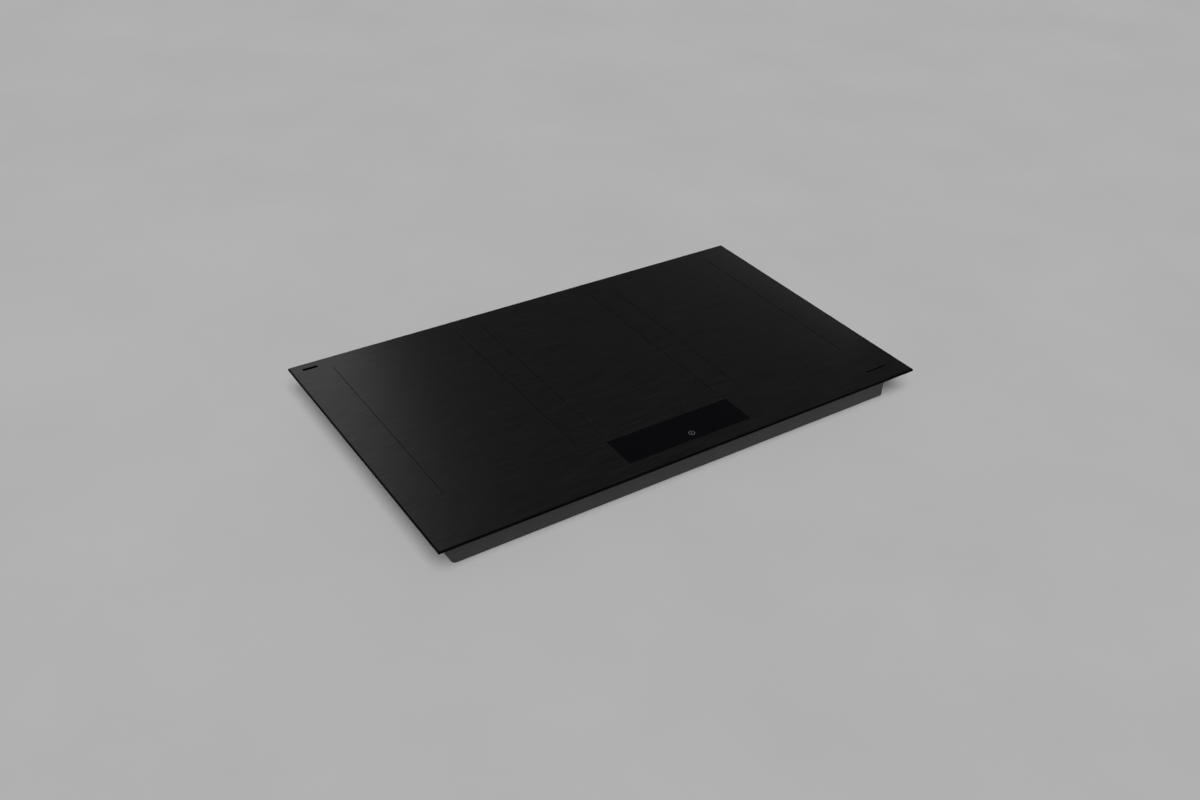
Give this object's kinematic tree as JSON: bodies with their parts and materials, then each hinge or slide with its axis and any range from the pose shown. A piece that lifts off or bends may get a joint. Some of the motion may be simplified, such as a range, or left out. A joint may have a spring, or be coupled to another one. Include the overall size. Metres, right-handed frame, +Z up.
{
  "type": "induction cooktop",
  "caption": "Wide frameless built-in induction hob: matt black glass on a steel tray with paired coils under flex zones, a front touch panel, blowers and swing-out worktop clamps.",
  "frame": {"origin": "middle of the bounding box, on the underside of the bottom tray", "axes": "+X to the user's right, along the width; +Y to the back edge; +Z up, out of the glass"},
  "size_m": [0.9, 0.52, 0.056],
  "materials": {
    "black_glass": "matt black, finely streaked, with ground edges",
    "foam_seal": "matt foam strip",
    "black_steel": "black powder coat on sheet steel",
    "zinc_steel": "zinc-coated sheet",
    "aluminium": "mill finish",
    "copper": null,
    "mica": "pressed mica",
    "black_plastic": "matt",
    "grey_plastic": "matt",
    "white_plastic": "satin",
    "circuit_board": "solder mask",
    "display": "dark light block",
    "screw_steel": "zinc plated"
  },
  "bodies": {
    "chassis": {"glass_top": "black_glass", "edge_seal": "foam_seal", "support_frame": "black_steel", "bottom_tray": "black_steel", "coil_plate": "aluminium", "heat_sink_left": "aluminium", "heat_sink_right": "aluminium", "coil_carrier_left_front": "black_plastic", "coil_winding_left_front": "copper", "coil_sensor_left_front": "white_plastic", "coil_carrier_left_rear": "black_plastic", "coil_winding_left_rear": "copper", "coil_sensor_left_rear": "white_plastic", "coil_carrier_middle_front": "black_plastic", "coil_winding_middle_front": "copper", "coil_sensor_middle_front": "white_plastic", "coil_carrier_middle_rear": "black_plastic", "coil_winding_middle_rear": "copper", "coil_sensor_middle_rear": "white_plastic", "coil_carrier_right_front": "black_plastic", "coil_winding_right_front": "copper", "coil_sensor_right_front": "white_plastic", "coil_carrier_right_rear": "black_plastic", "coil_winding_right_rear": "copper", "coil_sensor_right_rear": "white_plastic", "mica_sheet_left": "mica", "mica_sheet_middle": "mica", "mica_sheet_right": "mica", "ui_carrier": "grey_plastic", "ribbon_cable": "grey_plastic", "ui_board": "circuit_board", "power_board_left": "circuit_board", "power_board_right": "circuit_board", "filter_board": "circuit_board", "ui_display": "display", "capacitor_left": "white_plastic", "capacitor_right": "white_plastic", "terminal_block": "white_plastic", "filter_choke": "copper", "fan_motor_left": "copper", "fan_motor_right": "copper", "fan_housing_left": "black_plastic", "fan_housing_right": "black_plastic", "terminal_box": "black_plastic", "cable_gland": "black_plastic", "tray_screw_left_front": "screw_steel", "tray_screw_left_rear": "screw_steel", "tray_screw_right_front": "screw_steel", "tray_screw_right_rear": "screw_steel"},
    "clamp_screw_left_front": {"clamp_screw_left_front": "screw_steel"},
    "clamp_arm_left_front": {"clamp_arm_left_front": "zinc_steel"},
    "clamp_screw_left_rear": {"clamp_screw_left_rear": "screw_steel"},
    "clamp_arm_left_rear": {"clamp_arm_left_rear": "zinc_steel"},
    "clamp_screw_right_front": {"clamp_screw_right_front": "screw_steel"},
    "clamp_arm_right_front": {"clamp_arm_right_front": "zinc_steel"},
    "clamp_screw_right_rear": {"clamp_screw_right_rear": "screw_steel"},
    "clamp_arm_right_rear": {"clamp_arm_right_rear": "zinc_steel"},
    "terminal_lid": {"terminal_lid": "black_plastic"},
    "fan_impeller_left": {"fan_impeller_left": "grey_plastic"},
    "fan_impeller_right": {"fan_impeller_right": "grey_plastic"}
  },
  "joints": [
    {"name": "clamp_lift_left_front", "type": "slide", "parent": "chassis", "child": "clamp_screw_left_front", "axis": [0, 0, 1], "range_m": [0, 0.013]},
    {"name": "clamp_swing_left_front", "type": "hinge", "parent": "clamp_screw_left_front", "child": "clamp_arm_left_front", "pos_m": [-0.406, -0.178, 0.0073], "axis": [0, 0, 1], "range_deg": [0, 90]},
    {"name": "clamp_lift_left_rear", "type": "slide", "parent": "chassis", "child": "clamp_screw_left_rear", "axis": [0, 0, 1], "range_m": [0, 0.013]},
    {"name": "clamp_swing_left_rear", "type": "hinge", "parent": "clamp_screw_left_rear", "child": "clamp_arm_left_rear", "pos_m": [-0.406, 0.178, 0.0073], "axis": [0, 0, -1], "range_deg": [0, 90]},
    {"name": "clamp_lift_right_front", "type": "slide", "parent": "chassis", "child": "clamp_screw_right_front", "axis": [0, 0, 1], "range_m": [0, 0.013]},
    {"name": "clamp_swing_right_front", "type": "hinge", "parent": "clamp_screw_right_front", "child": "clamp_arm_right_front", "pos_m": [0.406, -0.178, 0.0073], "axis": [0, 0, -1], "range_deg": [0, 90]},
    {"name": "clamp_lift_right_rear", "type": "slide", "parent": "chassis", "child": "clamp_screw_right_rear", "axis": [0, 0, 1], "range_m": [0, 0.013]},
    {"name": "clamp_swing_right_rear", "type": "hinge", "parent": "clamp_screw_right_rear", "child": "clamp_arm_right_rear", "pos_m": [0.406, 0.178, 0.0073], "axis": [0, 0, 1], "range_deg": [0, 90]},
    {"name": "terminal_lid_hinge", "type": "hinge", "parent": "chassis", "child": "terminal_lid", "pos_m": [-0.0147, 0.2317, 0.0254], "axis": [1, 0, 0], "range_deg": [0, 100]},
    {"name": "fan_spin_left", "type": "hinge", "parent": "chassis", "child": "fan_impeller_left", "pos_m": [-0.262, 0.175, 0.004], "axis": [0, 0, 1], "continuous": true},
    {"name": "fan_spin_right", "type": "hinge", "parent": "chassis", "child": "fan_impeller_right", "pos_m": [0.262, 0.175, 0.004], "axis": [0, 0, 1], "continuous": true}
  ]
}
